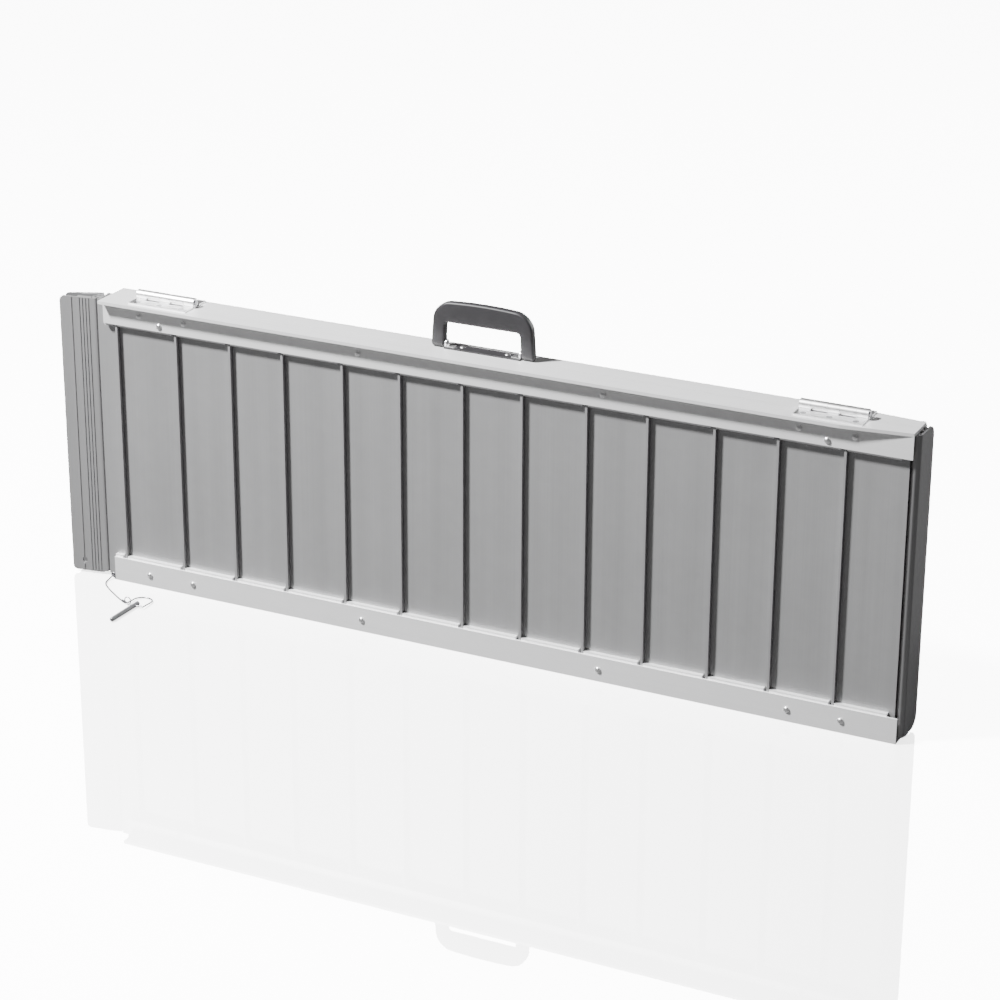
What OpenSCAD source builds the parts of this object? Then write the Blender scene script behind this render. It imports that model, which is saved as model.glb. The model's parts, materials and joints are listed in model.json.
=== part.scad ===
// Folding aluminium dog ramp, closed and standing on its open edge like a briefcase.
// X runs along the ramp from its upper end to its lower end, Y from the front half to the back
// half, and Z up. The two halves close deck to deck at the seam and hinge along the top edge.

/* [Overall] */
// Length of the side rails
rail_len = 1070; // [900:10:1300]
// Width of one half, which is the height of the closed ramp
half_w = 385; // [320:5:450]
// Thickness of one half, from the face of its rails to the seam
half_t = 21; // [20:0.5:24]

/* [Rails] */
// Thickness of a rail's web
web_t = 2.5; // [2:0.5:3]
// Width of a rail's web
web_h = 32; // [26:1:36]
// Thickness of a rail's long edge
plate_t = 4; // [3:0.5:5]
// Reach of the hinge flange in front of the front rail
front_reach = 11; // [8:1:14]
// Reach of the hinge flange behind the back rail
back_reach = 7; // [6:1:10]
// Length over which the hinge flange slants back at the lower end
slant_len = 85; // [50:5:120]

/* [Planks] */
// Thickness of the deck skin
skin_t = 3; // [2:0.5:3.5]
// Depth from the face of the rails to the deck skin
rib_depth = 8; // [7:0.5:8.5]
// Thickness of a plank's rib
rib_t = 3; // [2:0.5:4]
// Height of the tread ridges
ridge_h = 1.2; // [0.8:0.1:1.6]
// Width of a tread ridge
ridge_w = 2.4; // [2:0.2:3]
// Spacing of the tread ridges
ridge_pitch = 8; // [6:1:12]
// How far the lip hinge stands beyond the rails at the upper end
deck_out = 20; // [18:1:26]

/* [Lips] */
// Reach of an upper lip from its hinge
upper_lip_len = 47; // [44:1:52]
// Reach of a lower lip from its hinge
lower_lip_len = 42; // [38:1:50]
// Thickness of a lip
lip_t = 2.5; // [2:0.5:3]
// Radius of an upper lip's free corners
upper_lip_corner = 6; // [4:1:12]
// Radius of a lower lip's free corners
lower_lip_corner = 15; // [8:1:18]
// Outside radius of the lip hinges
barrel_r = 4.5; // [4:0.25:4.75]
// Radius of the rods in the lip hinges
rod_r = 1.5; // [1.2:0.1:2]
// Radius of the hitch-pin holes in the upper lips
pin_hole_r = 3.5; // [3.2:0.1:4.5]

/* [Main hinges] */
// Length of a main hinge
hinge_len = 83; // [76:1:90]
// Length of each of its two back knuckles
back_knuckle = 20; // [16:1:22]
// Radius of a hinge pin
hinge_pin_r = 3; // [2.5:0.25:3.5]
// Thickness of a hinge leaf
leaf_t = 2; // [1.5:0.25:2.5]
// Width of a hinge leaf from the pin
leaf_w = 25; // [23:0.5:25]

/* [Handle] */
// Width of the handle
handle_w = 136; // [120:2:150]
// Height of the handle above its pivot
handle_h = 54; // [50:1:60]
// Thickness of the handle
handle_t = 11; // [10:0.5:12]
// Width of a handle leg
leg_w = 17; // [15:1:20]
// Height of the grip
grip_h = 27; // [22:1:28]

/* [Hitch pin] */
// Radius of the hitch pin
hitch_r = 3; // [2.5:0.1:3.2]
// Length of the hitch pin
hitch_len = 60; // [50:1:70]
// Diameter of the lanyard cable
cable_d = 1.8;

/* [Hidden] */
$fn = 48;
run_clear = 0.05;                        // radial clearance of a pin that turns in its bore
seam_gap = 0.8;                          // gap between the closed halves
joint_gap = 0.4;                         // gap between neighbouring pieces
barrel_gap = 0.4;                        // gap between neighbouring hinge barrels
x_left = -rail_len / 2;
x_right = rail_len / 2;
inner_y = half_t - seam_gap / 2;
deck_y = rib_depth + skin_t;

// Lip hinges
upper_pin_x = x_left - deck_out;
lower_pin_x = x_right - 2;
pin_y = half_t - barrel_r - 1.5;
lip_in = barrel_r + 0.3;
lip_out = lip_in + lip_t;
socket_r = lip_out + 0.5;                // hollow in the deck's end strip that a lip's shell turns in
edge_upper = lip_out - 0.8;              // where that strip stops, from the rod, at the upper end,
edge_front = 3;                          // at the front half's lower end
edge_back = lip_out + 0.7;               // and at the back half's, whose lip folds against it
strip_in = edge_back + 3;                // where that strip starts
neck_low = 0.5;                          // the deck's necks join the barrels on the deck side
neck_high = barrel_r - 0.2;
root_u = 3.5;                            // a lip's sheet starts this far from the rod
shell_from = -54;                        // a lip's shell starts at its sheet, in degrees round the rod,
upper_shell_to = -111;                   // and ends where it still clears the necks at full swing
lower_shell_to = -170;
thick_len = 24;                          // reach of an upper lip's thick, fluted root
barrel_count = 9;
barrel_step = (half_w - 2 * plate_t - 1) / barrel_count;
barrel_h = barrel_step - barrel_gap;
function barrel_z(k) = plate_t + 0.5 + k * barrel_step + barrel_gap / 2;
lip_low = 3;
lip_high = half_w - 5;
rail_gap = 0.5;                          // height over the bottom rail at which a lip's root starts
front_tilt = 10;                         // how the upper lips lean at rest, in degrees
back_tilt = 24;
pin_hole_in = 17;                        // hitch-pin hole, from the lip's free edge and its low edge
pin_hole_up = 15;
notch_u = half_t - pin_y + back_reach + 7;   // corner notches that clear the back half's rails
notch_z = web_h + 4;

// Planks, each with a rib along its lower edge, and the small differences of their widths
plank_count = 14;
first_rib = 18.5;
last_rib = 78.5;
rib_shift = [0, 6, 3, -3, 0, -2, 2, 0, 3, 0, 3, 0, 0];
rib_root = 2;                            // fillet where a rib meets the skin
rib_pitch = (rail_len - first_rib - last_rib) / (plank_count - 2);
function rib_x(i) = x_left + first_rib + i * rib_pitch + rib_shift[i];
function plank_from(i) = i == 0 ? upper_pin_x + edge_upper : rib_x(i - 1) + joint_gap;
function plank_to(i, edge) = i == plank_count - 1 ? lower_pin_x - edge : rib_x(i);

// Rivets, each given as the rib before it and the distance from that rib
rivets = [[0, 35], [1, 13], [4, 23], [8, 21], [11, 24], [12, 10]];
rivet_r = 2;
rivet_head_r = 3.6;
rivet_rim = 1.2;
rivet_dome = 1.6;
rivet_z = 15.5;
function rivet_x(a) = rib_x(a[0]) + a[1];
spacer_w = 35;
spacer_short = 4;

// Main hinges
knuckle_r = handle_t / 2 + 0.5;
hinge_lift = knuckle_r + 0.4;
hinge_z = half_w + hinge_lift;
front_knuckle = (hinge_len - 2 * back_knuckle) / 3;
hinge_at = [x_left + 41, x_right - 60 - hinge_len];
knuckle_gap = 0.3;
screw_r = 2;
screw_head_r = 3.6;
screw_head_t = 1;
screw_y = half_t - 18;
screw_at = [10, hinge_len / 2, hinge_len - 10];
bolt_z = half_w - 25;
bolt_r = 2;

// Handle, on the back half, with its pivot level with the hinge pins
handle_x = -13;
handle_y = half_t + 1.5 + handle_t / 2;
handle_corner = 22;
opening_corner = 5;
opening_w = handle_w - 2 * leg_w;
handle_pin_r = 2;
base_t = 2;
clip_t = 2;
clip_gap = 0.6;
clip_r = 4.2;
clip_foot = 12;
clip_in = opening_w / 2 - clip_gap - clip_t;
base_rivet_in = 30;

// Lanyard: route points from the stop in the eye to the ring, from the rail's end and its face
lanyard = [[-5, 6.5, 4.4], [-5, 3, 4.4], [-5.5, -1, 3.2], [-6, -6, 1.7], [-6, -11, 1],
    [-4.5, -16, 0.95], [-2, -20.5, 0.95], [1.5, -24.5, 0.95], [6, -28.5, 0.95],
    [11, -32.5, 0.95], [16, -36.5, 0.95], [21, -40, 0.95], [26, -43.5, 0.95],
    [31, -47, 0.95], [36, -50.5, 1], [41, -54, 1.3], [46, -57, 1.6], [50.5, -59.2, 1.7]];
cable_sides = 8;
eye_r = 2.7;
eye_wire = 1;
eye_at = [-5, 3, 4.4];
stop_r = 2;
stop_len = 3.4;
sleeve_r = 1.6;
sleeve_from = [47, -57.4, 1.65];
sleeve_to = [55, -61, 1.75];
ring_r = 4.5;
ring_wire = 0.7;
ring_at = [58, -61, 5.3];
wire_r = 0.9;
bail_r = 12.5;
bail_leg = 19;
bail_bar = [71, -66, hitch_r];
hitch_head = 8;                          // from the cross hole to the pin's head
hitch_turn = -2;
bail_drop = asin((hitch_r - wire_r - 0.05) / (bail_leg + bail_r));

// The origin is under the middle of the object
mid_x = (upper_pin_x - upper_lip_len + 1 + lower_pin_x + lip_out) / 2;
mid_y = (2 * half_t - pin_y + lower_lip_len - front_reach) / 2;

mill = [0.78, 0.78, 0.79];
bright = [0.90, 0.90, 0.91];
steel = [0.62, 0.62, 0.64];
black = [0.15, 0.15, 0.16];

// Placing and shared shapes
module place() { translate([-mid_x, -mid_y, 0]) children(); }
module back_half() { translate([0, 2 * half_t, 0]) mirror([0, 1, 0]) children(); }
module rod_x(r, from, to) { translate([from, 0, 0]) rotate([0, 90, 0]) cylinder(r = r, h = to - from); }
module rod_y(r, from, to) { translate([0, from, 0]) rotate([-90, 0, 0]) cylinder(r = r, h = to - from); }
module rod_z(r, from, to) { translate([0, 0, from]) cylinder(r = r, h = to - from); }
module at_rivets() {
    for (a = rivets, z = [rivet_z, half_w - rivet_z]) translate([rivet_x(a), 0, z]) children();
}
module at_bolts() { for (x = hinge_at) translate([x + hinge_len / 2, 0, bolt_z]) children(); }
module at_screws() { for (x = hinge_at, s = screw_at) translate([x + s, screw_y, half_w]) children(); }
module dome(r, h) {
    big = (r * r + h * h) / (2 * h);
    intersection() {
        translate([0, 0, h - big]) sphere(r = big);
        cylinder(r = r, h = h);
    }
}

// A plank: deck skin with tread ridges, and a rib along its lower edge
module plank_section(i, edge) {
    from = plank_from(i);
    to = plank_to(i, edge);
    translate([from, rib_depth]) square([to - from, skin_t]);
    if (i < plank_count - 1) {
        translate([to - rib_t, web_t]) square([rib_t, rib_depth - web_t + 0.5]);
        polygon([[to - rib_t - rib_root, rib_depth], [to - rib_t, rib_depth - rib_root],
            [to, rib_depth - rib_root], [to, rib_depth]]);
    }
    ridge_n = floor((to - from - 8) / ridge_pitch);
    ridge_from = (from + to - ridge_n * ridge_pitch - ridge_w) / 2;
    for (k = [0 : ridge_n])
        translate([ridge_from + k * ridge_pitch, deck_y - 0.5]) square([ridge_w, ridge_h + 0.5]);
}

// The hinged end of the first and last planks, drawn from the rod with the deck towards -x
module plank_strip(edge) {
    translate([-strip_in, rib_depth - pin_y, plate_t])
        cube([strip_in - edge, pin_y - rib_depth + neck_high, half_w - 2 * plate_t]);
}
module plank_barrels() {
    for (k = [0 : 2 : barrel_count - 1]) translate([0, 0, barrel_z(k)]) {
        cylinder(r = barrel_r, h = barrel_h);
        translate([-edge_back - 1, neck_low, 0]) cube([edge_back - 1, neck_high - neck_low, barrel_h]);
    }
}
module at_rod(i) {
    if (i == 0) translate([upper_pin_x, pin_y, 0]) mirror([1, 0, 0]) children();
    if (i == plank_count - 1) translate([lower_pin_x, pin_y, 0]) children();
}
module plank(i, edge) {
    difference() {
        union() {
            difference() {
                union() {
                    translate([0, 0, plate_t]) linear_extrude(half_w - 2 * plate_t) plank_section(i, edge);
                    at_rod(i) plank_strip(i == 0 ? edge_upper : edge);
                }
                at_rod(i) rod_z(socket_r, 0, half_w);
            }
            at_rod(i) plank_barrels();
        }
        at_rod(i) rod_z(rod_r, 0, half_w);
        for (a = rivets, z = [rivet_z, half_w - rivet_z]) if (a[0] == i - 1)
            translate([rivet_x(a), 0, z]) rod_y(rivet_r, rib_depth - 1, half_t);
    }
}

// A lip, drawn from its rod: x runs out along the lip, -y is its underside
module lip_outline(len, corner) {
    translate([-10, lip_low]) square([len - corner + 10, lip_high - lip_low]);
    translate([0, lip_low + corner]) square([len, lip_high - lip_low - 2 * corner]);
    for (z = [lip_low + corner, lip_high - corner]) translate([len - corner, z]) circle(r = corner);
}
module lip_section(len, thick, shell_to) {
    translate([root_u, -lip_out]) square([len - root_u, lip_t]);
    if (shell_to < shell_from) intersection() {
        difference() {
            circle(r = lip_out);
            circle(r = lip_in);
        }
        polygon(concat([[0, 0]], [for (a = [shell_to, (shell_to + shell_from) / 2, shell_from])
            4 * lip_out * [cos(a), sin(a)]]));
    }
    translate([0, -lip_out]) square([root_u, lip_out - lip_in]);
    if (thick) {
        translate([barrel_r + 0.4, -lip_out]) square([thick_len - barrel_r - 0.4, lip_out]);
        for (u = [7 : 4.2 : thick_len - 2]) translate([u, -lip_out - 0.8]) square([2.2, 1.2]);
        translate([thick_len + 6.4, -lip_out - 0.8]) square([1.8, 1.2]);
    }
}
module lip(len, thick, notched, shell_to) {
    difference() {
        union() {
            intersection() {
                translate([0, 0, lip_low]) linear_extrude(lip_high - lip_low)
                    lip_section(len, thick, shell_to);
                translate([0, 2 * lip_out, 0]) rotate([90, 0, 0]) linear_extrude(4 * lip_out)
                    lip_outline(len, thick ? upper_lip_corner : lower_lip_corner);
            }
            for (k = [1 : 2 : barrel_count - 1])
                translate([0, 0, barrel_z(k)]) {
                    cylinder(r = barrel_r, h = barrel_h);
                    translate([0, -lip_out, 0]) cube([6, lip_out, barrel_h]);
                }
        }
        rod_z(rod_r + run_clear, 0, half_w);
        translate([-2 * lip_out, -2 * lip_out, 0])
            cube([2 * lip_out + root_u, 4 * lip_out, plate_t + rail_gap]);
        if (notched) for (z = [0, half_w - notch_z]) translate([-lip_out, -2 * lip_out, z])
            cube([notch_u + lip_out, 2 * lip_out, notch_z]);
        if (thick) translate([len - pin_hole_in, 0, lip_low + pin_hole_up]) {
            rod_y(pin_hole_r, -2 * lip_out, 2);
            rod_y(pin_hole_r + 2, -2 * lip_out, -lip_out);
        }
    }
}
module upper_lip(tilt) {
    translate([upper_pin_x, pin_y, 0]) rotate([0, 0, tilt]) mirror([1, 0, 0])
        lip(upper_lip_len, true, false, upper_shell_to);
}
module lower_lip(turn, notched, shell_to) {
    translate([lower_pin_x, pin_y, 0]) rotate([0, 0, turn]) lip(lower_lip_len, false, notched, shell_to);
}
module lip_rod(x) { translate([x, pin_y, 0]) rod_z(rod_r, plate_t + 0.5, half_w - plate_t - 0.5); }

// Rails: the top one carries the hinge flange, the bottom one is what the closed ramp stands on
module along_x() { translate([x_left, 0, 0]) rotate([90, 0, 90]) linear_extrude(rail_len) children(); }
module top_rail(reach) {
    z = half_w - plate_t;
    difference() {
        along_x() polygon([[-reach, z], [0, z], [0, half_w - web_h], [web_t, half_w - web_h], [web_t, z],
            [inner_y, z], [inner_y, half_w], [-reach, half_w]]);
        translate([0, 0, z - 1]) linear_extrude(plate_t + 2)
            polygon([[x_right - slant_len, -reach - 1], [x_right - slant_len, -reach], [x_right, 0],
                [x_right + 1, 0], [x_right + 1, -reach - 1]]);
        at_rivets() rod_y(rivet_r, -1, web_t + 1);
        at_bolts() rod_y(bolt_r, -1, web_t + 1);
        at_screws() rod_z(screw_r, -plate_t, 1);
    }
}
module bottom_rail() {
    difference() {
        along_x() polygon([[0, 0], [inner_y, 0], [inner_y, plate_t], [web_t, plate_t],
            [web_t, web_h], [0, web_h]]);
        at_rivets() rod_y(rivet_r, -1, web_t + 1);
    }
}

// Flat bars that fill the depth between a web and the deck, one for each bay
module spacers() {
    difference() {
        for (i = [0 : plank_count - 1]) {
            from = max(x_left, plank_from(i));
            to = i == plank_count - 1 ? lower_pin_x - strip_in - 0.5 : rib_x(i) - rib_t - spacer_short;
            for (z = [plate_t, half_w - spacer_w]) translate([from, web_t, z])
                cube([to - from, rib_depth - web_t, spacer_w - plate_t]);
        }
        at_rivets() rod_y(rivet_r, 0, rib_depth + 1);
        at_bolts() rod_y(bolt_r, 0, rib_depth + 1);
    }
}
module rivet(len) {
    rod_y(rivet_r, -rivet_rim, len);
    rotate([90, 0, 0]) {
        cylinder(r = rivet_head_r, h = rivet_rim);
        translate([0, 0, rivet_rim]) dome(rivet_head_r, rivet_dome);
    }
}
module rivet_set() {
    at_rivets() rivet(deck_y);
    at_bolts() rivet(rib_depth);
}

// Main hinges: leaves on the flanges, with three front and two back knuckles on each pin
function knuckle_from(k) = ceil(k / 2) * front_knuckle + floor(k / 2) * back_knuckle;
function knuckle_to(k) = knuckle_from(k + 1);
module hinge_leaf(own) {
    difference() {
        union() {
            translate([knuckle_gap / 2, -leaf_w, -hinge_lift])
                cube([hinge_len - knuckle_gap, leaf_w - knuckle_gap, leaf_t]);
            for (k = [0 : 4]) if (k % 2 == own)
                rod_x(knuckle_r, knuckle_from(k) + knuckle_gap / 2, knuckle_to(k) - knuckle_gap / 2);
        }
        for (k = [0 : 4]) if (k % 2 != own)
            translate([knuckle_from(k) - knuckle_gap / 2, -knuckle_r - 3, -hinge_lift - 1])
                cube([knuckle_to(k) - knuckle_from(k) + knuckle_gap, knuckle_r + 4, leaf_t + 2]);
        rod_x(hinge_pin_r + (own == 0 ? 0 : run_clear), -1, hinge_len + 1);
        for (s = screw_at) translate([s, screw_y - half_t, -hinge_lift]) {
            rod_z(screw_r, -1, leaf_t);
            rod_z(screw_head_r, leaf_t - screw_head_t, leaf_t + 1);
        }
    }
}
module leaf_pair(own) { for (x = hinge_at) translate([x, half_t, hinge_z]) hinge_leaf(own); }
module screw_set() {
    at_screws() {
        rod_z(screw_r, -plate_t, leaf_t - screw_head_t);
        rod_z(screw_head_r, leaf_t - screw_head_t, leaf_t);
    }
}
module main_pins() {
    for (x = hinge_at) translate([x, half_t, hinge_z]) rod_x(hinge_pin_r, -1, hinge_len + 1);
}

// Handle
module rounded(w, h, r, low) {
    translate([-w / 2, low]) square([w, h - r - low]);
    translate([-w / 2 + r, low]) square([w - 2 * r, h - low]);
    for (s = [-1, 1]) translate([s * (w / 2 - r), h - r]) circle(r = r);
}
module at_handle() { translate([handle_x, handle_y, hinge_z]) children(); }
module grip() {
    difference() {
        union() {
            translate([0, handle_t / 2, 0]) rotate([90, 0, 0]) linear_extrude(handle_t) difference() {
                rounded(handle_w, handle_h, handle_corner, 0);
                rounded(opening_w, handle_h - grip_h, opening_corner, -1);
            }
            for (s = [-1, 1]) translate([s * (handle_w - leg_w) / 2, 0, 0])
                rod_x(handle_t / 2, -leg_w / 2, leg_w / 2);
        }
        rod_x(handle_pin_r + run_clear, -handle_w, handle_w);
    }
}
module base_plate() {
    difference() {
        translate([-clip_in - clip_t, -6, -hinge_lift]) cube([2 * (clip_in + clip_t), 16, base_t]);
        for (s = [-1, 1]) translate([s * base_rivet_in, 4, -hinge_lift]) rod_z(rivet_r, -1, base_t + 1);
    }
}
module clips() {
    for (s = [0, 1]) mirror([s, 0, 0]) difference() {
        union() {
            translate([clip_in, 0, 0]) rod_x(clip_r, 0, clip_t);
            translate([clip_in, -clip_r, base_t - hinge_lift])
                cube([clip_t, 2 * clip_r, hinge_lift - base_t]);
            translate([clip_in + clip_t - clip_foot, -clip_r, base_t - hinge_lift])
                cube([clip_foot, 2 * clip_r, 1]);
        }
        rod_x(handle_pin_r, 0, handle_w);
    }
}
module pivot_pins() {
    for (s = [0, 1]) mirror([s, 0, 0])
        rod_x(handle_pin_r, clip_in - 0.8, clip_in + clip_t + clip_gap + leg_w - 2);
}
module base_rivets() {
    for (s = [-1, 1]) translate([s * base_rivet_in, 4, -hinge_lift]) {
        rod_z(rivet_r, 0, base_t);
        translate([0, 0, base_t]) dome(rivet_head_r, rivet_dome);
    }
}

// Lanyard, hitch pin and its pull ring, lying on the floor beside the upper lips
module at_rail_end() { translate([x_left, 0, 0]) children(); }
function unit(v) = v / norm(v);
function heading(i) = unit(lanyard[min(i + 1, len(lanyard) - 1)] - lanyard[max(i - 1, 0)]);
function cable_ring(i) = let (side = unit(cross([0, 0, 1], heading(i))), up = cross(heading(i), side))
    [for (k = [0 : cable_sides - 1]) lanyard[i]
        + cable_d / 2 * (cos(360 * k / cable_sides) * side + sin(360 * k / cable_sides) * up)];
module cable() {
    n = len(lanyard);
    walls = [for (i = [0 : n - 2], k = [0 : cable_sides - 1])
        let (a = i * cable_sides, b = a + cable_sides, next = (k + 1) % cable_sides)
        [a + k, b + k, b + next, a + next]];
    ends = [[for (k = [0 : cable_sides - 1]) k],
        [for (k = [cable_sides - 1 : -1 : 0]) (n - 1) * cable_sides + k]];
    polyhedron(points = [for (i = [0 : n - 1]) each cable_ring(i)], faces = concat(walls, ends));
}
module rod_between(a, b, r) {
    d = b - a;
    translate(a) rotate([0, acos(d[2] / norm(d)), atan2(d[1], d[0])]) cylinder(r = r, h = norm(d));
}
module eye() {
    translate(eye_at) rotate([90, 0, 0]) rotate_extrude() translate([eye_r, 0]) circle(r = eye_wire);
    translate([-1.6, 0, 0.3]) cube([1.6, 7, 7.5]);
}
module fittings() {
    translate([eye_at[0], eye_at[1] + eye_wire, eye_at[2]]) rod_y(stop_r, 0, stop_len);
    rod_between(sleeve_from, sleeve_to, sleeve_r);
    translate(ring_at) rotate([90, 0, 0]) rotate_extrude() translate([ring_r, 0]) circle(r = ring_wire);
}
module hitch() {
    translate(bail_bar) rotate([0, 0, hitch_turn]) difference() {
        union() {
            rod_y(hitch_r, hitch_head - hitch_len + hitch_r, hitch_head);
            translate([0, hitch_head - hitch_len + hitch_r, 0]) sphere(r = hitch_r);
        }
        rod_x(wire_r + run_clear, -2 * hitch_r, 2 * hitch_r);
    }
}
module pull_ring() {
    translate(bail_bar) rotate([-bail_drop, 0, 0]) {
        rod_x(wire_r, -bail_r, bail_r);
        for (s = [-1, 1]) translate([s * bail_r, 0, 0]) {
            sphere(r = wire_r);
            rod_y(wire_r, 0, bail_leg);
        }
        translate([0, bail_leg, 0]) rotate_extrude(angle = 180) translate([bail_r, 0]) circle(r = wire_r);
    }
}

color(mill) place() plank(0, edge_front);  // front_plank_01
color(mill) place() plank(1, edge_front);  // front_plank_02
color(mill) place() plank(2, edge_front);  // front_plank_03
color(mill) place() plank(3, edge_front);  // front_plank_04
color(mill) place() plank(4, edge_front);  // front_plank_05
color(mill) place() plank(5, edge_front);  // front_plank_06
color(mill) place() plank(6, edge_front);  // front_plank_07
color(mill) place() plank(7, edge_front);  // front_plank_08
color(mill) place() plank(8, edge_front);  // front_plank_09
color(mill) place() plank(9, edge_front);  // front_plank_10
color(mill) place() plank(10, edge_front);  // front_plank_11
color(mill) place() plank(11, edge_front);  // front_plank_12
color(mill) place() plank(12, edge_front);  // front_plank_13
color(mill) place() plank(13, edge_front);  // front_plank_14
color(mill) place() back_half() plank(0, edge_back);  // back_plank_01
color(mill) place() back_half() plank(1, edge_back);  // back_plank_02
color(mill) place() back_half() plank(2, edge_back);  // back_plank_03
color(mill) place() back_half() plank(3, edge_back);  // back_plank_04
color(mill) place() back_half() plank(4, edge_back);  // back_plank_05
color(mill) place() back_half() plank(5, edge_back);  // back_plank_06
color(mill) place() back_half() plank(6, edge_back);  // back_plank_07
color(mill) place() back_half() plank(7, edge_back);  // back_plank_08
color(mill) place() back_half() plank(8, edge_back);  // back_plank_09
color(mill) place() back_half() plank(9, edge_back);  // back_plank_10
color(mill) place() back_half() plank(10, edge_back);  // back_plank_11
color(mill) place() back_half() plank(11, edge_back);  // back_plank_12
color(mill) place() back_half() plank(12, edge_back);  // back_plank_13
color(mill) place() back_half() plank(13, edge_back);  // back_plank_14
color(mill) place() top_rail(front_reach);  // front_top_rail
color(mill) place() bottom_rail();  // front_bottom_rail
color(mill) place() back_half() top_rail(back_reach);  // back_top_rail
color(mill) place() back_half() bottom_rail();  // back_bottom_rail
color(mill) place() spacers();  // front_spacers
color(mill) place() back_half() spacers();  // back_spacers
color(bright) place() rivet_set();  // front_rivets
color(bright) place() back_half() rivet_set();  // back_rivets
color(mill) place() upper_lip(front_tilt);  // front_upper_lip
color(mill) place() back_half() upper_lip(-back_tilt);  // back_upper_lip
color(mill) place() lower_lip(90, false, lower_shell_to);  // front_lower_lip
color(mill) place() back_half() lower_lip(-90, true, 0);  // back_lower_lip
color(steel) place() lip_rod(upper_pin_x);  // front_upper_lip_rod
color(steel) place() back_half() lip_rod(upper_pin_x);  // back_upper_lip_rod
color(steel) place() lip_rod(lower_pin_x);  // front_lower_lip_rod
color(steel) place() back_half() lip_rod(lower_pin_x);  // back_lower_lip_rod
color(bright) place() leaf_pair(0);  // front_hinge_leaves
color(bright) place() back_half() leaf_pair(1);  // back_hinge_leaves
color(steel) place() main_pins();  // hinge_pins
color(steel) place() screw_set();  // front_hinge_screws
color(steel) place() back_half() screw_set();  // back_hinge_screws
color(black) place() at_handle() grip();  // handle_grip
color(black) place() at_handle() base_plate();  // handle_base
color(bright) place() at_handle() clips();  // handle_clips
color(steel) place() at_handle() pivot_pins();  // handle_pivot_pins
color(bright) place() at_handle() base_rivets();  // handle_rivets
color(steel) place() at_rail_end() eye();  // lanyard_eye
color(steel) place() at_rail_end() cable();  // lanyard_cable
color(steel) place() at_rail_end() fittings();  // lanyard_fittings
color(steel) place() at_rail_end() hitch();  // hitch_pin
color(steel) place() at_rail_end() pull_ring();  // hitch_pin_ring
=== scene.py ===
"""Folding aluminium dog ramp, closed and standing on its long edge: finishes, lanyard and studio.

Everything is in metres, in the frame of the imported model: X runs from the upper end of the ramp to
its lower end, Y from the front half to the back half, and Z up.
"""

import json
import math

import bmesh
import bpy
from mathutils import Euler, Matrix, Vector


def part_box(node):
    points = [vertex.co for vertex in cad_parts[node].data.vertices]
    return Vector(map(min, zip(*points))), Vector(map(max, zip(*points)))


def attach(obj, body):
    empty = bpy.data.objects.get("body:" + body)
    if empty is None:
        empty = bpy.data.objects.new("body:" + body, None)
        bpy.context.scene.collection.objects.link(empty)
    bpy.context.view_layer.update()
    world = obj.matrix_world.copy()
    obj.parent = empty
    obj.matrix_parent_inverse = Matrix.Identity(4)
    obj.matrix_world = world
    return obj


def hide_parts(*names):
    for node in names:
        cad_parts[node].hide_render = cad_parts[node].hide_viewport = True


bl_info = {
    "name": "Folding Dog Ramp",
    "version": (1, 0, 0),
    "blender": (4, 5, 0),
    "location": "3D View > Sidebar > Dog Ramp",
    "description": "Finishes a folding aluminium dog ramp and sets it in a plain studio",
    "category": "Object",
}

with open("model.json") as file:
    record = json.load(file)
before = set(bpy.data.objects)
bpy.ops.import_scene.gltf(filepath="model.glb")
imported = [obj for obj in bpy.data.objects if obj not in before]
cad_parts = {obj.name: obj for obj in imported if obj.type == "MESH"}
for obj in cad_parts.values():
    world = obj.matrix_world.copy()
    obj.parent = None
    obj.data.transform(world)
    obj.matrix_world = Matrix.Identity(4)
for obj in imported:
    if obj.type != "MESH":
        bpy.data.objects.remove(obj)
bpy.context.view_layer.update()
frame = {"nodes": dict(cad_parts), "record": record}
MM = 0.001
RAIL_LOW, RAIL_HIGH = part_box("front_bottom_rail")
RAIL_END = Vector((RAIL_LOW.x, RAIL_LOW.y, 0.0))       # upper end of the front rail, on the floor
GRIP_LOW, GRIP_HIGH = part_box("handle_grip")


# ---------------------------------------------------------------- settings


class RampFinishes(bpy.types.PropertyGroup):
    """Colours and roughnesses of the ramp's finishes"""

    deck: bpy.props.FloatVectorProperty(
        name="Deck", description="Colour of the mill-finish planks and lips", subtype="COLOR",
        size=3, min=0, max=1, default=(0.36, 0.36, 0.365))
    deck_rough: bpy.props.FloatProperty(
        name="Deck roughness", description="Roughness of the planks", subtype="FACTOR",
        min=0, max=1, default=0.52)
    rail: bpy.props.FloatVectorProperty(
        name="Rails", description="Colour of the satin rails", subtype="COLOR",
        size=3, min=0, max=1, default=(0.88, 0.88, 0.885))
    rail_rough: bpy.props.FloatProperty(
        name="Rail roughness", description="Roughness of the rails", subtype="FACTOR",
        min=0, max=1, default=0.42)
    plated: bpy.props.FloatVectorProperty(
        name="Hinges", description="Colour of the bright plated hinges", subtype="COLOR",
        size=3, min=0, max=1, default=(0.96, 0.96, 0.965))
    steel: bpy.props.FloatVectorProperty(
        name="Steel", description="Colour of the zinc-plated pins and rings", subtype="COLOR",
        size=3, min=0, max=1, default=(0.34, 0.34, 0.355))
    strand: bpy.props.FloatVectorProperty(
        name="Cable", description="Colour of the stranded cable", subtype="COLOR",
        size=3, min=0, max=1, default=(0.30, 0.30, 0.315))
    plastic: bpy.props.FloatVectorProperty(
        name="Handle", description="Colour of the moulded handle", subtype="COLOR",
        size=3, min=0, max=1, default=(0.022, 0.021, 0.023))


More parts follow.
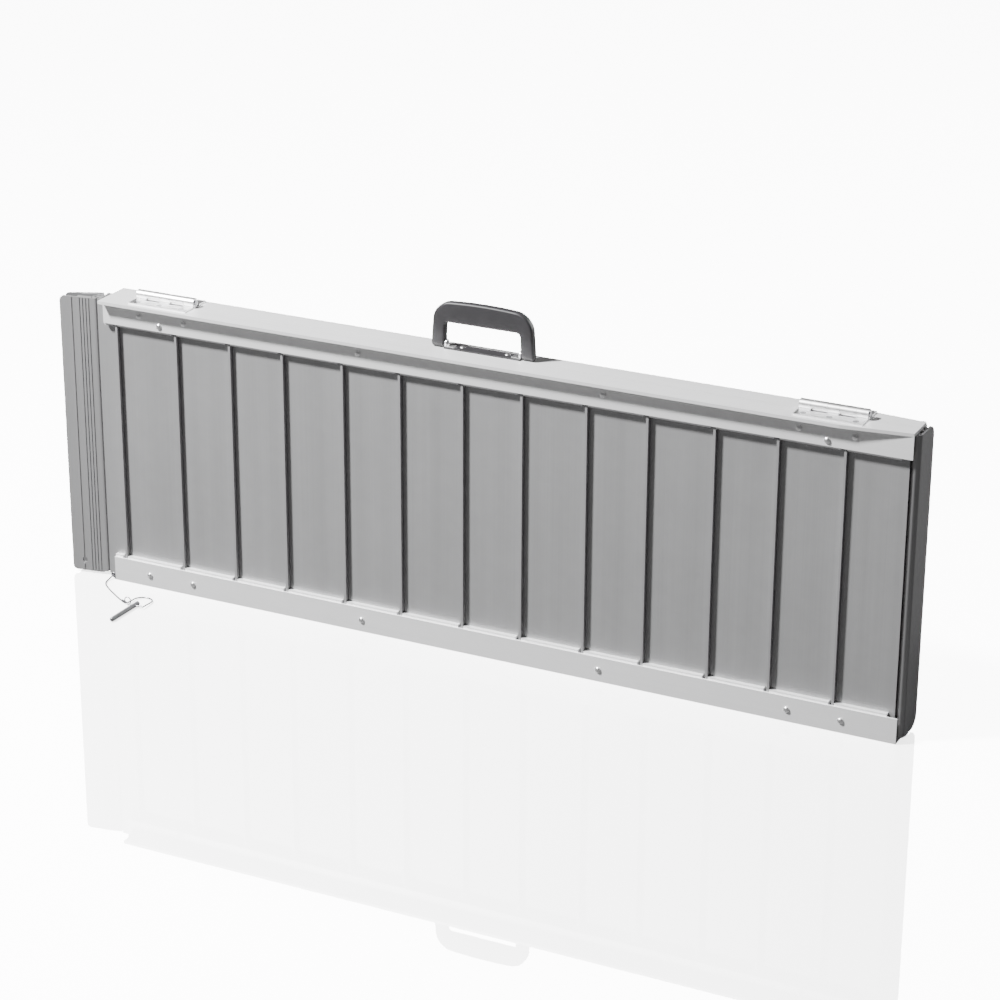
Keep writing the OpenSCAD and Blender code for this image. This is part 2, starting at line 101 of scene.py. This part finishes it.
class RampSizes(bpy.types.PropertyGroup):
    """Sizes of the pieces that are built here"""

    cable: bpy.props.FloatProperty(
        name="Cable diameter", description="Diameter of the lanyard cable", unit="LENGTH",
        min=0.001, max=0.004, default=1.8 * MM)
    strands: bpy.props.IntProperty(
        name="Strands", description="Outer strands of the cable", min=4, max=9, default=6)
    lay: bpy.props.FloatProperty(
        name="Lay", description="Length in which a strand goes once round the cable",
        unit="LENGTH", min=0.004, max=0.03, default=9 * MM)
    grip_round: bpy.props.FloatProperty(
        name="Handle rounding", description="Radius along the handle's edges", unit="LENGTH",
        min=0.0005, max=0.004, default=2.6 * MM)


class StudioSettings(bpy.types.PropertyGroup):
    """Light and camera of the studio"""

    key: bpy.props.FloatProperty(
        name="Key", description="Power of the key light", min=0, default=560, unit="POWER")
    back: bpy.props.FloatProperty(
        name="Back", description="Power of the light behind the ramp", min=0, default=70, unit="POWER")
    fill: bpy.props.FloatProperty(
        name="Fill", description="Light that the surround gives", min=0, default=0.1)
    white: bpy.props.FloatProperty(
        name="White", description="Strength of the surround where it is seen", min=0, default=34)
    lens: bpy.props.FloatProperty(
        name="Lens", description="Focal length of the camera", min=20, max=300, default=105.79)


# ---------------------------------------------------------------- material nodes


class Term:
    """A socket that can stand in arithmetic, which adds Math nodes to its tree."""

    def __init__(self, graph, socket):
        self.graph, self.socket = graph, socket

    def _math(self, operation, first, second):
        node = self.graph.node("ShaderNodeMath", {"operation": operation}, {0: first, 1: second})
        return Term(self.graph, node.outputs[0])

    def __add__(self, other):
        return self._math("ADD", self, other)

    def __radd__(self, other):
        return self._math("ADD", other, self)

    def __sub__(self, other):
        return self._math("SUBTRACT", self, other)

    def __rsub__(self, other):
        return self._math("SUBTRACT", other, self)

    def __mul__(self, other):
        return self._math("MULTIPLY", self, other)

    def __rmul__(self, other):
        return self._math("MULTIPLY", other, self)

    def over(self, low, high):
        """0 below low, 1 above high and straight in between."""
        node = self.graph.node("ShaderNodeMapRange", {"clamp": True}, {0: self, 1: low, 2: high})
        return Term(self.graph, node.outputs[0])


class Graph:
    """A node tree, and the one way to add nodes to it."""

    def __init__(self, tree):
        self.tree = tree

    def node(self, kind, settings=None, sockets=None):
        made = self.tree.nodes.new(kind)
        for key, value in (settings or {}).items():
            setattr(made, key, value)
        for key, value in (sockets or {}).items():
            self.plug(made.inputs[key], value)
        return made

    def plug(self, socket, value):
        if isinstance(value, Term):
            self.tree.links.new(value.socket, socket)
        elif isinstance(value, bpy.types.NodeSocket):
            self.tree.links.new(value, socket)
        else:
            socket.default_value = value


class Paint(Graph):
    """A material with one Principled shader."""

    def __init__(self, name):
        self.material = bpy.data.materials.new(name)
        self.material.use_nodes = True
        super().__init__(self.material.node_tree)
        self.shader = self.tree.nodes["Principled BSDF"]

    def surface(self, **sockets):
        for key, value in sockets.items():
            self.plug(self.shader.inputs[key.replace("_", " ")], value)
        return self.material

    def noise(self, stretch, detail=3.0):
        """Noise over the object, with about this many waves in a metre along each axis."""
        where = self.node("ShaderNodeTexCoord").outputs["Object"]
        place = self.node("ShaderNodeVectorMath", {"operation": "MULTIPLY"}, {0: where, 1: stretch})
        node = self.node("ShaderNodeTexNoise", None,
                         {"Vector": place.outputs[0], "Scale": 1.0, "Detail": detail})
        return Term(self, node.outputs["Fac"])

    def mix(self, amount, dark, light):
        node = self.node("ShaderNodeMix", {"data_type": "RGBA"},
                         {0: amount, 6: (*dark, 1.0), 7: (*light, 1.0)})
        return node.outputs[2]

    def relief(self, height, distance, strength=0.5):
        node = self.node("ShaderNodeBump", None,
                         {"Height": height, "Distance": distance, "Strength": strength})
        return node.outputs["Normal"]


def shade(colour, factor):
    return tuple(min(1.0, c * factor) for c in colour)


def even(waves):
    """The same number of waves along each axis."""
    return (waves, waves, waves)


def drawn(along, axis, across):
    """Few waves along one axis and many across it, as drawing through a die leaves them."""
    return tuple(along if name == axis else across for name in "XYZ")


def drawn_metal(name, colour, rough, axis, contrast=0.05, metallic=0.55):
    """Extruded aluminium: fine draw lines along one axis, wide faint bands and a dull mottle."""
    paint = Paint(name)
    lines = paint.noise(drawn(2.5, axis, 900.0), 4.0)
    bands = paint.noise(drawn(0.8, axis, 38.0), 2.0)
    mottle = paint.noise(even(60.0), 5.0)
    smudge = paint.noise(even(9.0), 3.0).over(0.35, 0.7)
    tone = lines * 0.35 + bands * 0.45 + mottle * 0.2
    return paint.surface(
        Base_Color=paint.mix(tone.over(0.3, 0.7), shade(colour, 1 - contrast), shade(colour, 1 + contrast)),
        Roughness=rough - 0.06 + lines * 0.08 + smudge * 0.05,
        Metallic=metallic,
        Normal=paint.relief(lines, 0.00004, 0.35))


def plated_metal(name, colour, rough, contrast=0.05):
    """Zinc or nickel plate: cloudy crystals, small scratches and a soft sheen."""
    paint = Paint(name)
    cloud = paint.noise(even(220.0), 4.0)
    grain = paint.noise(even(1500.0), 2.0)
    scratch = paint.noise((2600.0, 180.0, 700.0), 2.0).over(0.66, 0.74)
    return paint.surface(
        Base_Color=paint.mix(cloud.over(0.3, 0.7), shade(colour, 1 - contrast), shade(colour, 1 + contrast)),
        Roughness=rough + cloud * 0.08 + scratch * 0.12,
        Metallic=1.0,
        Normal=paint.relief(grain * 0.7 - scratch * 0.3, 0.00003, 0.3))


def moulded_plastic(name, colour, rough):
    """Black moulded plastic with a fine spark-eroded grain, a little greyer where it is rubbed."""
    paint = Paint(name)
    grain = paint.noise(even(1900.0), 3.0)
    rub = paint.noise(even(26.0), 4.0).over(0.45, 0.75)
    return paint.surface(
        Base_Color=paint.mix(rub * 0.6 + grain * 0.2, colour, shade(colour, 1.9)),
        Roughness=rough + grain * 0.14 - rub * 0.08,
        Normal=paint.relief(grain, 0.00012, 0.5))


def finishes(settings):
    """One material for each material slot."""
    deck, rough, rail = settings.deck, settings.deck_rough, settings.rail
    return {
        "deck_aluminium": drawn_metal("deck_planks", deck, rough, "Z", 0.09),
        "lip_aluminium": drawn_metal("fluted_lips", deck, rough - 0.02, "Z"),
        "rail_aluminium": drawn_metal("satin_rails", rail, settings.rail_rough, "X", 0.05, 0.36),
        "rivet_aluminium": plated_metal("pressed_rivets", shade(rail, 1.05), 0.3),
        "bright_steel": plated_metal("bright_hinges", settings.plated, 0.34, 0.03),
        "zinc_steel": plated_metal("zinc_pins", settings.steel, 0.3, 0.08),
        "steel_cable": plated_metal("cable_strands", settings.strand, 0.36, 0.12),
        "black_plastic": moulded_plastic("handle_plastic", settings.plastic, 0.42),
    }


def finish_of(context, slot):
    """The material of a slot. The first operator that needs one makes them all."""
    if not bpy.data.materials.get("deck_planks"):
        for key, material in finishes(context.scene.ramp_finishes).items():
            material["finish_slot"] = key
    for material in bpy.data.materials:
        if material.get("finish_slot") == slot:
            return material
    raise RuntimeError(f"no finish is made for {slot}")


def repaint(context, *slots):
    """Gives the model's own solids in these slots their finish."""
    for part in frame["record"]["subparts"]:
        if part["material_slot"] in slots:
            data = frame["nodes"][part["node"]].data
            data.materials.clear()
            data.materials.append(finish_of(context, part["material_slot"]))


# ---------------------------------------------------------------- meshes


def loft(name, rings):
    """A closed solid through rings of points that all have the same count."""
    shape = bmesh.new()
    rows = [[shape.verts.new(p) for p in ring] for ring in rings]
    count = len(rings[0])
    for one, two in zip(rows, rows[1:]):
        for k in range(count):
            shape.faces.new((one[k], one[(k + 1) % count], two[(k + 1) % count], two[k]))
    shape.faces.new(list(reversed(rows[0])))
    shape.faces.new(rows[-1])
    bmesh.ops.recalc_face_normals(shape, faces=shape.faces)
    mesh = bpy.data.meshes.new(name)
    shape.to_mesh(mesh)
    shape.free()
    piece = bpy.data.objects.new(name, mesh)
    bpy.context.scene.collection.objects.link(piece)
    for face in mesh.polygons:
        face.use_smooth = len(face.vertices) == 4
    return piece


def settle(context, piece, body, slot, *nodes):
    """Finishes a piece: its material, its body and the solids that it stands for."""
    piece.data.materials.append(finish_of(context, slot))
    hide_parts(*nodes)
    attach(piece, body)


def smooth_path(points, step):
    """Points along one smooth curve through the given ones, about step apart."""
    path = []
    last = len(points) - 1
    for i in range(last):
        before, here = points[max(i - 1, 0)], points[i]
        there, after = points[i + 1], points[min(i + 2, last)]
        parts = max(2, round((there - here).length / step))
        for k in range(parts):
            t = k / parts
            path.append(0.5 * (2 * here + (there - before) * t
                               + (2 * before - 5 * here + 4 * there - after) * t * t
                               + (3 * here - before - 3 * there + after) * t ** 3))
    path.append(points[last])
    return path


# ---------------------------------------------------------------- lanyard

# Route of the cable from its stop in the eye to its sleeve, from the rail's upper end, in metres
LANYARD = [
    (-0.005, 0.0065, 0.0044), (-0.005, 0.003, 0.0044), (-0.0055, -0.001, 0.0032),
    (-0.006, -0.006, 0.0017), (-0.006, -0.011, 0.001), (-0.0045, -0.016, 0.00095),
    (-0.002, -0.0205, 0.00095), (0.0015, -0.0245, 0.00095), (0.006, -0.0285, 0.00095),
    (0.011, -0.0325, 0.00095), (0.016, -0.0365, 0.00095), (0.021, -0.04, 0.00095),
    (0.026, -0.0435, 0.00095), (0.031, -0.047, 0.00095), (0.036, -0.0505, 0.001),
    (0.041, -0.054, 0.0013), (0.046, -0.057, 0.0016), (0.0505, -0.0592, 0.0017),
]
ROUTE_STEP = 0.8 * MM
CABLE_SIDES = 24
GROOVE = 0.2                                            # depth between two strands, of the radius


class RAMP_OT_lanyard(bpy.types.Operator):
    """Lay the stranded cable of the lanyard, with the hitch pin on it"""

    bl_idname = "ramp.lanyard"
    bl_label = "Lanyard"

    def rings(self, route, sizes):
        """Cross-sections of the cable, whose strands wind round it along the way."""
        rings, gone = [], 0.0
        for i, point in enumerate(route):
            ahead = (route[min(i + 1, len(route) - 1)] - route[max(i - 1, 0)]).normalized()
            side = Vector((0, 0, 1)).cross(ahead).normalized()
            up = ahead.cross(side)
            gone += (point - route[i - 1]).length if i else 0.0
            twist = gone / sizes.lay * math.tau
            ring = []
            for k in range(CABLE_SIDES):
                angle = math.tau * k / CABLE_SIDES
                lobe = abs(math.sin((angle - twist) * sizes.strands / 2))
                reach = sizes.cable / 2 * (1 - GROOVE + GROOVE * math.sqrt(lobe))
                ring.append(point + side * reach * math.cos(angle) + up * reach * math.sin(angle))
            rings.append(ring)
        return rings

    def execute(self, context):
        sizes = context.scene.ramp_sizes
        route = smooth_path([RAIL_END + Vector(p) for p in LANYARD], ROUTE_STEP)
        cable = loft("lanyard_strands", self.rings(route, sizes))
        settle(context, cable, "front_half", "steel_cable", "lanyard_cable")
        length = sum((b - a).length for a, b in zip(route, route[1:]))
        repaint(context, "zinc_steel")
        return {"FINISHED"}


# ---------------------------------------------------------------- the ramp's pieces


class RAMP_OT_deck(bpy.types.Operator):
    """Finish the deck planks in drawn aluminium"""

    bl_idname = "ramp.deck"
    bl_label = "Deck planks"

    def execute(self, context):
        repaint(context, "deck_aluminium")
        return {"FINISHED"}


class RAMP_OT_rails(bpy.types.Operator):
    """Finish the rails, their spacer bars and the rivets"""

    bl_idname = "ramp.rails"
    bl_label = "Rails and rivets"

    def execute(self, context):
        repaint(context, "rail_aluminium", "rivet_aluminium")
        return {"FINISHED"}


class RAMP_OT_lips(bpy.types.Operator):
    """Finish the swinging lips at both ends"""

    bl_idname = "ramp.lips"
    bl_label = "End lips"

    def execute(self, context):
        repaint(context, "lip_aluminium")
        return {"FINISHED"}


class RAMP_OT_hinges(bpy.types.Operator):
    """Finish the main hinges and the handle's clips"""

    bl_idname = "ramp.hinges"
    bl_label = "Hinges"

    def execute(self, context):
        repaint(context, "bright_steel")
        return {"FINISHED"}


LEG = 17 * MM                                           # width of a leg of the handle
GRIP = 27 * MM                                          # height of its grip
OUTER_CORNER, INNER_CORNER = 22 * MM, 5 * MM
LEAN = 3.5 * MM                                         # how far the legs lean in at the top
ARCH = 4 * MM                                           # how much lower the grip's top is at its ends
FOOT = 0.985                                            # share of a foot's round, which ends in a face
FOOT_STEPS, STRAIGHT_STEPS, CORNER_STEPS, EDGE_STEPS = 8, 6, 12, 5


class RAMP_OT_handle(bpy.types.Operator):
    """Build the moulded handle with rounded edges, and finish its base"""

    bl_idname = "ramp.handle"
    bl_label = "Handle"

    def stations(self, half_w, top, foot_r):
        """Outer and inner edge of one half, from the foot of the leg to the middle of the grip."""
        inner_w, inner_top = half_w - LEG, top - GRIP
        stations = []
        for k in range(FOOT_STEPS + 1):
            drop = foot_r * math.cos(math.pi / 2 * k / FOOT_STEPS) * FOOT
            stations.append(((half_w, -drop), (inner_w, -drop)))
        for k in range(1, STRAIGHT_STEPS + 1):
            t = k / STRAIGHT_STEPS
            stations.append(((half_w, t * (top - OUTER_CORNER)), (inner_w, t * (inner_top - INNER_CORNER))))
        for k in range(1, CORNER_STEPS + 1):
            turn = math.pi / 2 * k / CORNER_STEPS
            stations.append([(w - r + r * math.cos(turn), h - r + r * math.sin(turn))
                             for w, h, r in ((half_w, top, OUTER_CORNER),
                                             (inner_w, inner_top, INNER_CORNER))])
        for k in range(1, STRAIGHT_STEPS + 1):
            t = 1 - k / STRAIGHT_STEPS
            stations.append((((half_w - OUTER_CORNER) * t, top), ((inner_w - INNER_CORNER) * t, inner_top)))
        return stations

    def lean(self, point, half_w, top):
        """A point of the handle's outline, drawn in towards the top."""
        return point[0] - LEAN * point[0] / half_w * max(point[1], 0) / top, point[1]

    def ring(self, centre, across, width, depth, corner):
        """A rounded cross-section, this wide across and twice this deep."""
        ring = []
        for quarter in range(4):
            out = 1 if quarter in (0, 3) else -1
            back = 1 if quarter in (0, 1) else -1
            for k in range(EDGE_STEPS + 1):
                angle = math.pi / 2 * (quarter + k / EDGE_STEPS)
                u = out * (width / 2 - corner) + corner * math.cos(angle)
                v = back * (depth - corner) + corner * math.sin(angle)
                ring.append(centre + across * u + Vector((0, v, 0)))
        return ring

    def execute(self, context):
        middle = (GRIP_LOW + GRIP_HIGH) / 2
        half_t = (GRIP_HIGH.y - GRIP_LOW.y) / 2
        half_w = (GRIP_HIGH.x - GRIP_LOW.x) / 2
        pivot_z = GRIP_LOW.z + half_t
        top = GRIP_HIGH.z - pivot_z
        stations = self.stations(half_w, top, half_t)
        rings = []
        for sign, (outer, inner) in ([(-1, s) for s in stations]
                                     + [(1, s) for s in reversed(stations[:-1])]):
            depth = half_t if outer[1] >= 0 else math.sqrt(max(half_t ** 2 - outer[1] ** 2, 1e-8))
            outer, inner = self.lean(outer, half_w, top), self.lean(inner, half_w, top)
            outer = (outer[0], outer[1] - ARCH * max(outer[1], 0) / top * (outer[0] / half_w) ** 2)
            across = Vector((sign * (outer[0] - inner[0]), 0, outer[1] - inner[1]))
            width = across.length
            across.normalize()
            centre = Vector((middle.x + sign * (outer[0] + inner[0]) / 2, middle.y,
                             pivot_z + (outer[1] + inner[1]) / 2))
            corner = min(context.scene.ramp_sizes.grip_round, depth * 0.9)
            rings.append(self.ring(centre, across, width, depth, corner))
        handle = loft("moulded_handle", rings)
        settle(context, handle, "handle", "black_plastic", "handle_grip")
        repaint(context, "black_plastic")
        return {"FINISHED"}


# ---------------------------------------------------------------- studio

CAMERA_FROM = Vector((0.9256, -2.9472, 1.5357))         # from the front rail's lower end, on the floor
CAMERA_DOWN, CAMERA_TURN, CAMERA_ROLL = 21.97, 25.998, 0.279        # degrees
LIT_POINT = Vector((0.0, 0.0, 0.2))                     # the middle of the ramp, which the lamps face
KEY_TRAVEL, KEY_DISTANCE, KEY_SIZE = Vector((1.2, 1.0, -1.8)), 3.6, 0.45
BACK_TRAVEL, BACK_DISTANCE, BACK_SIZE = Vector((-1.2, -2.8, -0.55)), 3.4, 1.4
FLOOR_REACH = 14.0
FLOOR_DROP = 0.0004                                     # keeps the floor clear of the rail's face
FLOOR_BOUNCE = 0.1                                      # how much light the floor throws at the ramp
FLOOR_LIT, FLOOR_GLOW, FLOOR_GLOSS = 1.1, 4.0, 0.2      # how it looks: lit part, own light, mirror share


class RAMP_OT_camera(bpy.types.Operator):
    """Set the camera to the front, a little above, from the lower end's side"""

    bl_idname = "ramp.camera"
    bl_label = "Camera"

    def execute(self, context):
        data = bpy.data.cameras.new("camera")
        data.sensor_width = 36.0
        data.lens = context.scene.ramp_studio.lens
        data.clip_end = 100.0
        camera = bpy.data.objects.new("camera", data)
        context.scene.collection.objects.link(camera)
        camera.location = Vector((RAIL_HIGH.x, RAIL_LOW.y, 0.0)) + CAMERA_FROM
        aim = Euler((math.radians(90 - CAMERA_DOWN), 0.0, math.radians(CAMERA_TURN))).to_matrix()
        roll = Matrix.Rotation(math.radians(CAMERA_ROLL), 3, "Z")
        camera.rotation_euler = (aim @ roll).to_euler()
        context.scene.camera = camera
        return {"FINISHED"}


class RAMP_OT_studio(bpy.types.Operator):
    """Set a glossy white floor, a white surround, a key light and a weak light behind the ramp"""

    bl_idname = "ramp.studio"
    bl_label = "Studio"

    def floor_gloss(self):
        """White gloss floor that is lit from within where it is seen, so that it stays white."""
        paint = Paint("floor_gloss")
        camera_ray = paint.node("ShaderNodeLightPath").outputs["Is Camera Ray"]
        bounce = paint.node("ShaderNodeBsdfDiffuse", None, {"Color": (*even(FLOOR_BOUNCE), 1.0)})
        lit = paint.node("ShaderNodeBsdfDiffuse", None, {"Color": (*even(FLOOR_LIT), 1.0)})
        glow = paint.node("ShaderNodeEmission", None, {"Color": (1, 1, 1, 1), "Strength": FLOOR_GLOW})
        white = paint.node("ShaderNodeAddShader", None, {0: lit.outputs[0], 1: glow.outputs[0]})
        mirror = paint.node("ShaderNodeBsdfGlossy", None, {"Color": (1, 1, 1, 1), "Roughness": 0.0})
        gloss = paint.node("ShaderNodeMixShader", None,
                           {0: FLOOR_GLOSS, 1: white.outputs[0], 2: mirror.outputs[0]})
        whole = paint.node("ShaderNodeMixShader", None,
                           {0: camera_ray, 1: bounce.outputs[0], 2: gloss.outputs[0]})
        paint.plug(paint.tree.nodes["Material Output"].inputs["Surface"], whole.outputs[0])
        return paint.material

    def floor(self, context):
        shape = bmesh.new()
        bmesh.ops.create_grid(shape, x_segments=8, y_segments=8, size=FLOOR_REACH)
        mesh = bpy.data.meshes.new("floor")
        shape.to_mesh(mesh)
        shape.free()
        floor = bpy.data.objects.new("floor", mesh)
        floor.location.z = -FLOOR_DROP
        context.scene.collection.objects.link(floor)
        mesh.materials.append(self.floor_gloss())

    def surround(self, context):
        """White where it is seen or mirrored, and a dim even fill for the ramp."""
        settings = context.scene.ramp_studio
        world = bpy.data.worlds.new("surround")
        context.scene.world = world
        world.use_nodes = True
        graph = Graph(world.node_tree)
        rays = graph.node("ShaderNodeLightPath").outputs
        seen = graph.node("ShaderNodeMath", {"operation": "MAXIMUM"},
                          {0: rays["Is Camera Ray"], 1: rays["Is Singular Ray"]})
        strength = graph.node("ShaderNodeMapRange", None, {
            "Value": seen.outputs[0], "To Min": settings.fill, "To Max": settings.white})
        sky = graph.tree.nodes["Background"]
        graph.plug(sky.inputs["Color"], (1.0, 1.0, 1.0, 1.0))
        graph.plug(sky.inputs["Strength"], strength.outputs[0])

    def lamp(self, context, name, power, travel, distance, size):
        """A round lamp that shines at the middle of the ramp along the given direction."""
        data = bpy.data.lights.new(name, "AREA")
        data.shape = "DISK"
        data.size = size
        data.energy = power
        lamp = bpy.data.objects.new(name, data)
        context.scene.collection.objects.link(lamp)
        lamp.location = LIT_POINT - travel.normalized() * distance
        lamp.rotation_euler = travel.to_track_quat("-Z", "Y").to_euler()

    def execute(self, context):
        settings = context.scene.ramp_studio
        self.floor(context)
        self.surround(context)
        self.lamp(context, "key", settings.key, KEY_TRAVEL, KEY_DISTANCE, KEY_SIZE)
        self.lamp(context, "back_light", settings.back, BACK_TRAVEL, BACK_DISTANCE, BACK_SIZE)
        return {"FINISHED"}


class RAMP_PT_panel(bpy.types.Panel):
    """Lists the steps that finish the ramp"""

    bl_idname = "RAMP_PT_panel"
    bl_label = "Dog Ramp"
    bl_space_type = "VIEW_3D"
    bl_region_type = "UI"
    bl_category = "Dog Ramp"

    def draw(self, context):
        for step in STEPS:
            self.layout.operator(step.bl_idname)
        for group in (context.scene.ramp_finishes, context.scene.ramp_sizes, context.scene.ramp_studio):
            box = self.layout.box()
            for key in group.__annotations__:
                box.prop(group, key)


STEPS = (RAMP_OT_camera, RAMP_OT_lanyard, RAMP_OT_deck, RAMP_OT_rails, RAMP_OT_lips,
         RAMP_OT_hinges, RAMP_OT_handle, RAMP_OT_studio)
GROUPS = (("ramp_finishes", RampFinishes), ("ramp_sizes", RampSizes), ("ramp_studio", StudioSettings))


def register():
    for name, group in GROUPS:
        bpy.utils.register_class(group)
        setattr(bpy.types.Scene, name, bpy.props.PointerProperty(type=group))
    for step in STEPS:
        bpy.utils.register_class(step)
    bpy.utils.register_class(RAMP_PT_panel)


def unregister():
    bpy.utils.unregister_class(RAMP_PT_panel)
    for step in reversed(STEPS):
        bpy.utils.unregister_class(step)
    for name, group in reversed(GROUPS):
        delattr(bpy.types.Scene, name)
        bpy.utils.unregister_class(group)


def main():
    register()
    for step in STEPS:
        group, name = step.bl_idname.split(".")
        getattr(getattr(bpy.ops, group), name)()


if __name__ == "__main__":
    main()
